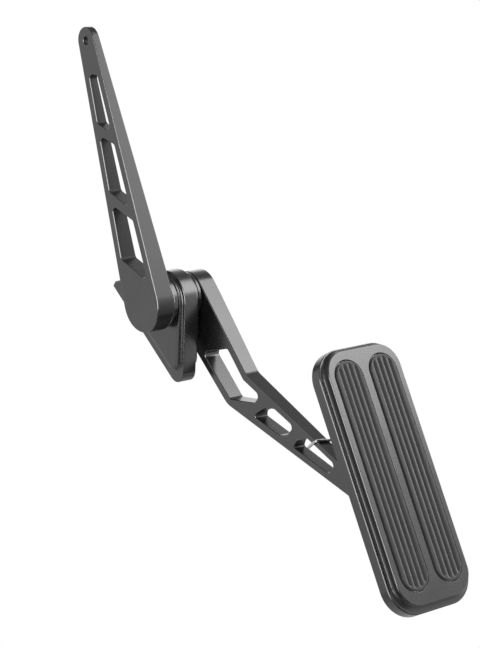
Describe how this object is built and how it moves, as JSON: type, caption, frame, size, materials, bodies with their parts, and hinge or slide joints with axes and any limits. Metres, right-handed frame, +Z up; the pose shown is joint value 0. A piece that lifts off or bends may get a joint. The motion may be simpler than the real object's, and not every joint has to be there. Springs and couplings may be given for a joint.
{
  "type": "accelerator pedal",
  "caption": "Hanging accelerator pedal with a tall windowed cable lever, wedge bracket, bent slotted arm and long pad with ribbed rubber inserts.",
  "frame": {"origin": "middle of the bracket's sloped mounting face", "axes": "+X along the pivot shaft from the cable lever to the arm, +Y forward away from the foot, +Z up"},
  "size_m": [0.0666, 0.2184, 0.2484],
  "materials": {
    "black_anodised": "satin black anodised",
    "insert_rubber": "matte",
    "steel": "turned",
    "black_steel": "black oxide",
    "bronze": "sintered bronze"
  },
  "bodies": {
    "bracket": {"mount_bracket": "black_anodised", "left_bush": "bronze", "right_bush": "bronze", "left_thrust_washer": "black_steel", "right_thrust_washer": "black_anodised", "return_spring": "black_steel"},
    "pedal": {"throttle_lever": "black_anodised", "pivot_shaft": "steel", "spacer_collar": "black_anodised", "spring_cover": "black_anodised", "lever_set_screw": "black_steel", "pedal_arm": "black_anodised", "arm_washer": "black_steel", "arm_screw": "black_steel", "pad_plate": "black_anodised", "left_insert": "insert_rubber", "right_insert": "insert_rubber", "pad_screws": "black_steel"}
  },
  "joints": [
    {"name": "pedal_pivot", "type": "hinge", "parent": "bracket", "child": "pedal", "pos_m": [0, -0.0224, 0.02048], "axis": [1, 0, 0], "range_deg": [0, 15], "stiffness_Nm_per_rad": 2.8, "springref_deg": -12.61}
  ]
}
